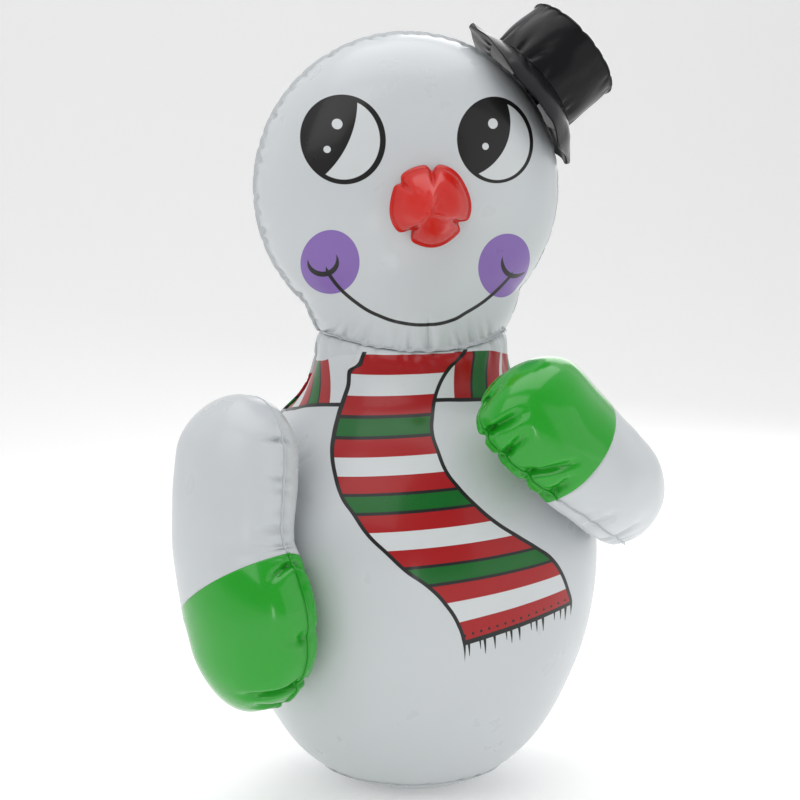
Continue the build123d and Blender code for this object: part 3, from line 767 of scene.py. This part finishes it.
# ---- arms ----
def arm_frame(spine, count):
    """Centre line of an arm beside the body, its outward and across directions, and its lengths."""
    u = np.linspace(0, 1, count)
    keys = np.array([[r * sin(radians(t)), -r * cos(radians(t)), z] for t, r, z in spine])
    places = lengths(keys)
    at = places / places[-1]
    line = spline(at, keys, u)
    along = unit(np.gradient(line, axis=0))
    height = np.clip(line[:, 2], 170, 372)
    turn = np.arctan2(line[:, 0], -line[:, 1])
    slope = np.where(height > Z_WIDE, (height - Z_WIDE) / R_UPPER, (height - Z_WIDE) / R_LOWER)
    lean = np.arcsin(slope)
    out = np.stack([np.cos(lean) * np.sin(turn), -np.cos(lean) * np.cos(turn), np.sin(lean)], axis=-1)
    across = unit(np.cross(along, out))
    out = np.cross(across, along)
    return line, out, across, lengths(line)


def arm(side, spine, widths, bulges, cuff, blunt, swing, folds, seed):
    """Both panels of an arm, each cut at the cuff into a sleeve and a mitten."""
    count, turns = 230, 96
    line, out, across, length = arm_frame(spine, count)
    total = length[-1]
    share = length / total
    wide = spline(np.linspace(0, 1, len(widths)), widths, share)
    bulge = spline(np.linspace(0, 1, len(bulges)), bulges, share)
    near_start, near_end = length / widths[0], (total - length) / (blunt * widths[-1])
    cap = np.sqrt(np.clip(1 - (1 - np.clip(near_start, 0, 1)) ** 2, 0, 1))
    cap = cap * np.sqrt(np.clip(1 - (1 - np.clip(near_end, 0, 1)) ** 2, 0, 1))
    half = (wide * cap)[:, None]
    psi = np.linspace(0, pi, turns)[None, :]
    body_r = np.interp(line[:, 2], PROFILE[:, 1], PROFILE[:, 0])
    gap = np.hypot(line[:, 0], line[:, 1]) - body_r
    free = np.clip(gap * out[:, 0] / line[:, 0] * np.hypot(line[:, 0], line[:, 1]) - 3.0, 18, 42)
    # An arm that swings towards the body lies further from it, the further from its shoulder.
    free = np.maximum(free - swing * np.linalg.norm(line - line[count // 4], axis=1), 10)[:, None]
    ease = np.linspace(0, 1, 140) * pi / 2  # the rows of a film lie closer together at one end
    pieces = []
    for layer in ("outer", "inner"):
        lift = np.sin(psi) ** 0.92
        if layer == "outer":
            rise = (bulge * cap**0.85)[:, None] * lift
        else:
            want = (bulge * cap**0.85)[:, None] * lift * 0.95
            rise = -free * (1 - np.exp(-want / free * 1.25))
        b = half * np.cos(psi)
        grid = line[:, None] + across[:, None] * b[..., None] + out[:, None] * rise[..., None]
        arc = np.minimum(psi, pi - psi) * (half * 0.5 + bulge[:, None] * 0.5)
        near_side = psi < pi / 2
        t = length[:, None] + 0 * psi
        sink = np.zeros(t.shape)
        for which, shift in ((near_side, 0), (~near_side, 7)):
            sink += which * 2.0 * puckers(t, arc, total, 20, 24, 4.6, seed + shift)
        for fold_side, place, reach, width, deep, slant in folds:
            which = ~near_side if fold_side > 0 else near_side
            keep = 1.0 if layer == "outer" else 0.6
            sink += which * keep * deep * crease(t, arc, place * total, reach, width, slant)
        sink = sink * smooth(0, 2.5, arc)
        way = unit(grid - line[:, None])
        grid = grid - way * sink[..., None]
        grid = grid + way * (0.7 * dents(grid, 60, seed + 3) * smooth(0, 12, arc))[..., None]
        notch = np.zeros((count, 2))
        for k, which in enumerate((-1, 1)):
            notch[:, k] = 1.2 * puckers(length, 0 * length, total, 20, 24, 6.0, seed + (0 if k == 0 else 7))
            for fold_side, place, reach, width, deep, slant in folds:
                if fold_side == which:
                    mark = crease(length, 0 * length, place * total, reach, width * 1.3)
                    notch[:, k] += deep * 0.45 * mark
        fade = smooth(16, 0, arc)
        shift = np.where(near_side, notch[:, :1], -notch[:, 1:]) * fade
        grid = grid - across[:, None] * shift[..., None]
        lip = 0.4 if layer == "outer" else -0.4
        first = grid[:, :1] + across[:, None] * WELD * cap[:, None, None] + out[:, None] * lip
        last = grid[:, -1:] - across[:, None] * WELD * cap[:, None, None] + out[:, None] * lip
        grid = np.concatenate([first, grid, last], axis=1)
        pieces.append((layer, grid))
    for layer, grid in pieces:
        # The cuff print runs slantwise, so each column is cut at its own height and moved to it.
        columns = np.linspace(-1, 1, grid.shape[1])
        cut = cuff[0] + cuff[1] * columns + cuff[2] * (1 - columns**2) * (1 if layer == "outer" else -1)
        for part, colour, slot in (("sleeve", white, "white_vinyl"), ("mitten", green, "green_vinyl")):
            samples = []
            for c in range(grid.shape[1]):
                if part == "sleeve":
                    wanted = (1 - np.cos(ease) ** 0.9) * cut[c]
                else:
                    wanted = cut[c] + (1 - cut[c]) * np.sin(ease)
                column = grid[:, c]
                samples.append(np.stack([np.interp(wanted, share, column[:, k]) for k in range(3)], axis=-1))
            patch = np.stack(samples, axis=1)
            inside = line[int(count * (0.3 if part == "sleeve" else 0.75))]
            name = side + "_" + part + "_" + layer
            panel(name + "_film", patch, inside, side + "_arm", [name], colour)


# (degrees from the front, distance from the axis, height) along each arm
RIGHT_SPINE = ((-64, 204, 438), (-62, 219, 385), (-60.5, 227, 330), (-59, 229, 275), (-54.5, 228, 224),
               (-57, 221, 168), (-65, 210, 121))
LEFT_SPINE = ((82, 207, 322), (70, 211, 328), (57, 216, 342), (45, 218, 365), (35, 210, 396), (27, 196, 430),
              (20.5, 176, 462))
# (side of the arm: 1 is the seam that faces forwards, share of its length, reach, width, depth, slant)
RIGHT_FOLDS = ((1, 0.57, 40, 3.8, 7.0, 0.3), (1, 0.70, 46, 4.6, 4.5, -0.1), (1, 0.80, 70, 3.6, 11.0, 0.12),
               (1, 0.88, 46, 4.2, 8.0, -0.2), (1, 0.95, 34, 4.0, 5.0, 0.0), (-1, 0.72, 34, 5.0, 4.0, 0.1),
               (-1, 0.9, 40, 5.0, 4.5, 0.0), (1, 0.14, 34, 4.2, 4.5, 0.1), (1, 0.25, 26, 4.2, 3.0, 0.0),
               (1, 0.38, 30, 4.6, 3.0, 0.1))
LEFT_FOLDS = ((1, 0.66, 40, 4.0, 6.0, 0.1), (1, 0.745, 58, 4.2, 9.0, -0.3), (1, 0.82, 46, 3.6, 7.0, 0.1),
              (1, 0.89, 62, 4.2, 11.0, -0.1), (1, 0.96, 50, 4.0, 8.0, 0.1), (-1, 0.96, 44, 4.2, 6.0, 0.1),
              (-1, 0.86, 30, 4.0, 2.5, 0.0), (1, 0.18, 30, 4.2, 3.0, 0.0), (1, 0.36, 34, 4.2, 3.5, 0.1),
              (1, 0.5, 30, 4.2, 3.5, 0.0))
arm("right", RIGHT_SPINE, (60, 70, 73, 75, 82, 64, 42), (50, 62, 64, 64, 64, 58, 42),
    (0.585, -0.055, -0.015), 1.7, 0.0, RIGHT_FOLDS, 201)
arm("left", LEFT_SPINE, (60, 62, 63, 66, 69, 69, 64), (48, 60, 62, 62, 62, 60, 50),
    (0.635, 0.005, 0.0), 0.62, 0.16, LEFT_FOLDS, 301)


# ---- shoulder welds ----
def shoulder(side, angle, height):
    """The soft ring of film between the body and an arm."""
    node = side + "_shoulder_weld"
    slope = asin((height - Z_WIDE) / R_UPPER)
    r = UPPER_C[0] + sqrt(R_UPPER**2 - (height - Z_WIDE) ** 2)
    turn = radians(angle)
    hub = np.array([r * sin(turn), -r * cos(turn), height])
    out = np.array([cos(slope) * sin(turn), -cos(slope) * cos(turn), sin(slope)])
    flat = np.array([cos(turn), sin(turn), 0.0])
    high = np.cross(out, flat)
    steps = np.linspace(-2.0, 9.0, 12)[:, None]
    phi = np.radians(np.linspace(0, 360, 97)[:-1])[None, :]
    radius = 24.5 - 2.2 * np.sin((steps + 2) / 11 * pi) + 0.5 * np.sin(9 * phi + 1)
    grid = hub + out * steps[..., None] + flat * (radius * np.cos(phi))[..., None]
    grid = grid + high * (radius * np.sin(phi))[..., None]
    middle = hub + out * 2
    piece = panel(side + "_shoulder_ring", grid, middle, None, [node], white, closed=True)
    start, end = (hub - out * 1) * MM, (hub + out * 7) * MM
    return piece, tuple(start), tuple(end)


for side, angle, height in (("right", -62, 356), ("left", 66, 336)):
    ring, start, end = shoulder(side, angle, height)
    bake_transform(ring)


# ---- hat ----
RADIAL = np.array([cos(HAT_ANGLE), 0, sin(HAT_ANGLE)])
TANGENT = np.array([-sin(HAT_ANGLE), 0, cos(HAT_ANGLE)])
HAT_FOOT = HEAD + RADIAL * HAT_OUT
HAT_UP = RADIAL * cos(HAT_LEAN) + np.array([0, 1, 0]) * sin(HAT_LEAN)
HAT_FRONT = np.cross(HAT_UP, TANGENT)


def hat_place(x, y, z):
    """Points of the hat frame in the row frame."""
    parts = (x, TANGENT), (y, HAT_FRONT), (z, HAT_UP)
    return HAT_FOOT + sum(np.asarray(v)[..., None] * way for v, way in parts)


def hat_piece(name, x, y, z, inside, node, closed=True, film=FILM):
    grid, inside = hat_place(x, y, z), hat_place(*inside)
    return panel(name, grid, inside, "hat", [node], black, closed, film)


hat_phi = np.radians(np.linspace(0, 360, 241)[:-1])[None, :]


def with_flange(x, y, z, rim_r, lift):
    """The points of a hat panel, and the outer edge of its weld."""
    flange = (rim_r * np.cos(hat_phi), rim_r * np.sin(hat_phi), z[-1:] + lift)
    return [np.concatenate([a, b + 0 * hat_phi]) for a, b in zip((x, y, z), flange)]


def crown_wall():
    h = np.linspace(0, 1, 70)[:, None]
    radius = CROWN_R + 1.2 * np.sin(pi * h)
    from_top, from_foot = (1 - h) * CROWN_H, h * CROWN_H
    around = hat_phi * CROWN_R
    length = 2 * pi * CROWN_R
    sink = 1.1 * puckers(around, from_top + 0 * around, length, 21, 16, 4.5, 401, True)
    sink += 2.4 * puckers(around, from_foot + 0 * around, length, 26, 26, 5.5, 402, True)
    radius = radius - sink * smooth(0, 2, from_top) * smooth(0, 2, from_foot)
    radius = radius + 0.8 * np.sin(3 * hat_phi + 4 * h) * np.sin(pi * h)
    x, y = radius * np.cos(hat_phi), radius * np.sin(hat_phi)
    z = 1.2 + h * CROWN_H + 0 * hat_phi
    wave = 0.9 * puckers(around, 0 * around, length, 21, 20, 6.0, 401, True)
    z = z - wave * smooth(0.8, 1, h)
    x, y, z = with_flange(x, y, z, CROWN_R + 1.6, 0.6)
    hat_piece("hat_crown", x, y, z, (0, 0, 30), "hat_crown_wall")


def crown_top():
    t = np.sin(np.linspace(0, 1, 50) * pi / 2)[:, None]
    around = hat_phi * CROWN_R
    edge = CROWN_R + 1.0
    from_rim = (1 - t) * edge
    rise = (DOME_H - 2.5) * np.sqrt(np.maximum(1 - t**2.4, 0))
    length = 2 * pi * CROWN_R
    gathers = 1.5 * puckers(around, from_rim, length, 21, 20, 4.5, 401, True)
    rise = rise - gathers * smooth(0, 3, from_rim)
    wave = 0.9 * puckers(around, 0 * around, length, 21, 20, 6.0, 401, True)
    z = 1.2 + CROWN_H + rise - wave * smooth(0.7, 1, t) + 0.8
    x, y = edge * t * np.cos(hat_phi), edge * t * np.sin(hat_phi)
    x, y, z = with_flange(x, y, z, edge + 0.6, 0.3)
    hat_piece("hat_top", x, y, z, (0, 0, 30), "hat_crown_top")


def brim_height(x, y, r):
    """The limp brim: it droops in front and at its two ends. The +X end is creased upwards like a gutter."""
    out = np.clip((r - CROWN_R) / (BRIM_R - CROWN_R), 0, 1)
    left, right = np.maximum(x / BRIM_R, 0), np.maximum(-x / BRIM_R, 0)
    cross = np.abs(y / BRIM_R)
    droop = (-9.0 * left**1.5 - 17.0 * right**1.6) * out
    front = -31.0 * np.maximum(y / BRIM_R, 0) ** 1.1 * out**1.2
    gutter = 30.0 * np.maximum(left - 0.5, 0) * cross * out
    flap = -14.0 * np.maximum(right - 0.35, 0) * np.maximum(y / BRIM_R, 0) * out
    return droop + front + gutter + flap


def brim():
    r = np.linspace(CROWN_R - 1.5, BRIM_R, 44)[:, None]
    around = hat_phi * 75
    x = r * np.cos(hat_phi)
    y = r * np.sin(hat_phi) * (1 - 0.42 * smooth(0.62, 0.98, np.abs(x) / BRIM_R))
    z = 0.9 + brim_height(x, y, r)
    out = (r - CROWN_R) / (BRIM_R - CROWN_R)
    z = z + 1.3 * np.sin(7 * hat_phi + 1.2) * out + 0.8 * np.sin(13 * hat_phi + 0.4) * out
    from_crown = (r - CROWN_R + 1.5) + 0 * around
    gathers = 1.6 * puckers(around, from_crown, 471, 22, 18, 5.0, 421, True)
    z = z - gathers * smooth(0, 5, r - 58)
    hat_piece("hat_brim_sheet", x, y, z, (0, 0, -40), "hat_brim", film=1.3)


def bottom_panel():
    t = np.linspace(0, 1, 30)[:, None]
    r = t * (CROWN_R + 1.0)
    x, y = r * np.cos(hat_phi), r * np.sin(hat_phi)
    z = 0.0 * x - 0.35 + 0.3 * np.sin(5 * hat_phi) * t
    hat_piece("hat_bottom", x, y, z, (0, 0, 30), "hat_bottom_panel")


def weld_tab():
    """A tab of doubled film between the head rim and the hat."""
    s = np.linspace(-21, 21, 40)[None, :]
    h = np.linspace(-5.5, 0.5, 10)[:, None]
    edge = np.sqrt(HEAD_R**2 - s**2) - HEAD_R
    base = HEAD + RADIAL * HAT_OUT
    low = HEAD_R + 0.5 - HAT_OUT + edge
    rise = low + (0.0 - low) * (h + 5.5) / 6.0
    y = 0.8 * np.sin(s / 6) * smooth(-5.5, 0.5, h)
    grid = base + TANGENT * s[..., None] + RADIAL * rise[..., None] + np.array([0, 1, 0]) * y[..., None]
    inside = base + np.array([0, 30, 0])
    tab = panel("hat_tab", grid, inside, None, ["hat_weld_tab"], black, film=1.2)
    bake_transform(tab)


crown_wall()
crown_top()
brim()
bottom_panel()
weld_tab()


# ---- valves, ballast: the CAD pieces stay and get real materials ----
def clear_film(name, tint, through, rough):
    net = Net(name)
    shader = net.shader
    cloud = net.noise(60.0, 3.0)
    net.plug(cloud * 0.1 + (rough - 0.05), shader.inputs["Roughness"])
    colour = net.paint(tint, (cloud * 0.12, (0.6, 0.64, 0.68, 1)))
    net.tree.links.new(colour, shader.inputs["Base Color"])
    shader.inputs["IOR"].default_value = 1.5
    shader.inputs["Coat Weight"].default_value = 0.3
    shader.inputs["Transmission Weight"].default_value = through
    return net.material


valve_film = clear_film("clear_vinyl_moulded", (0.78, 0.81, 0.84, 1), 0.25, 0.22)
sheet_film = clear_film("clear_vinyl_sheet", (0.80, 0.83, 0.86, 1), 0.5, 0.2)
liquid = clear_film("ballast_liquid", (0.72, 0.82, 0.88, 1), 0.7, 0.08)
for name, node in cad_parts.items():
    if "valve" in name:
        kind = valve_film
    elif name == "ballast_diaphragm":
        kind = sheet_film
    elif name == "ballast_water":
        kind = liquid
    else:
        continue
    for slot in node.material_slots:
        slot.material = kind

# ---- stage ----
PAPER = 5.0


def stage():
    """A pale floor that curves up behind."""
    mesh = bpy.data.meshes.new("floor")
    bend = np.linspace(0.1, pi / 2, 14)
    depths = np.concatenate([np.linspace(-4, 2.2, 12), 2.2 + 1.6 * np.sin(bend), [3.8]])
    heights = np.concatenate([np.zeros(12), 1.6 - 1.6 * np.cos(bend), [5.0]])
    verts = [(x, y, z - 0.0005) for y, z in zip(depths, heights) for x in (-PAPER, PAPER)]
    faces = [(2 * i, 2 * i + 1, 2 * i + 3, 2 * i + 2) for i in range(len(depths) - 1)]
    mesh.from_pydata(verts, [], faces)
    mesh.shade_smooth()
    floor = bpy.data.objects.new("floor", mesh)
    bpy.context.scene.collection.objects.link(floor)
    paper = bpy.data.materials.new("studio_paper")
    paper.use_nodes = True
    shader = paper.node_tree.nodes["Principled BSDF"]
    shader.inputs["Base Color"].default_value = (0.93, 0.93, 0.92, 1)
    shader.inputs["Roughness"].default_value = 0.9
    shader.inputs["Specular IOR Level"].default_value = 0.1
    shader.inputs["Emission Color"].default_value = (1, 1, 1, 1)
    shader.inputs["Emission Strength"].default_value = 0.22
    mesh.materials.append(paper)


stage()


def softbox(name, place, target, size, power):
    data = bpy.data.lights.new(name, "AREA")
    data.shape = "RECTANGLE"
    data.size, data.size_y = size
    data.energy = power
    lamp = bpy.data.objects.new(name, data)
    lamp.location = place
    way = Vector(target) - Vector(place)
    lamp.rotation_euler = way.to_track_quat("-Z", "Y").to_euler()
    bpy.context.scene.collection.objects.link(lamp)


MIDDLE = (0, 0, 0.45)
softbox("key", (-1.35, -1.55, 2.1), MIDDLE, (2.0, 1.8), 17)
softbox("fill", (1.8, -1.7, 0.9), MIDDLE, (2.0, 2.0), 9)
softbox("top", (0.1, 0.2, 2.4), MIDDLE, (2.0, 2.0), 20)
softbox("sparkle", (-0.25, -2.1, 0.15), MIDDLE, (0.16, 0.3), 0.9)
softbox("rim", (0.9, 1.9, 1.4), MIDDLE, (1.2, 1.6), 9)
world = bpy.data.worlds.new("studio")
world.use_nodes = True
sky = world.node_tree
coords = sky.nodes.new("ShaderNodeTexCoord")
split = sky.nodes.new("ShaderNodeSeparateXYZ")
ramp = sky.nodes.new("ShaderNodeMapRange")
sky.links.new(coords.outputs["Generated"], split.inputs[0])
sky.links.new(split.outputs["Y"], ramp.inputs["Value"])
# The room is bright behind the object and dimmer in front of it.
for socket, number in (("From Min", -0.6), ("From Max", 0.5), ("To Min", 0.32), ("To Max", 1.0)):
    ramp.inputs[socket].default_value = number
sky.links.new(ramp.outputs[0], sky.nodes["Background"].inputs["Strength"])
sky.nodes["Background"].inputs["Color"].default_value = (0.97, 0.985, 1.0, 1)
bpy.context.scene.world = world
bpy.context.scene.view_settings.view_transform = "Standard"

# ---- camera ----
CAMERA_FAR = 2.3
LENS_PER_FRAME = CAMERA_FAR / 0.864  # the frame is 0.864 m wide at the object
right_way = Vector((0.986, -0.165, 0.0)).normalized()
back_way = Vector((-0.163, -0.977, 0.139)).normalized()
up_way = back_way.cross(right_way)
back_way = right_way.cross(up_way).normalized()
camera_data = bpy.data.cameras.new("camera")
camera = bpy.data.objects.new("camera", camera_data)
camera_data.sensor_width = 36.0
camera_data.lens = 36.0 * LENS_PER_FRAME
camera_data.shift_x = -0.015
camera_data.shift_y = -0.005
camera_data.clip_start = 0.05
camera_data.clip_end = 50
turn = Matrix((right_way, up_way, back_way)).transposed()
camera.matrix_world = Matrix.Translation(Vector((0, 0, 0.421)) + back_way * CAMERA_FAR) @ turn.to_4x4()
bpy.context.scene.collection.objects.link(camera)
bpy.context.scene.camera = camera
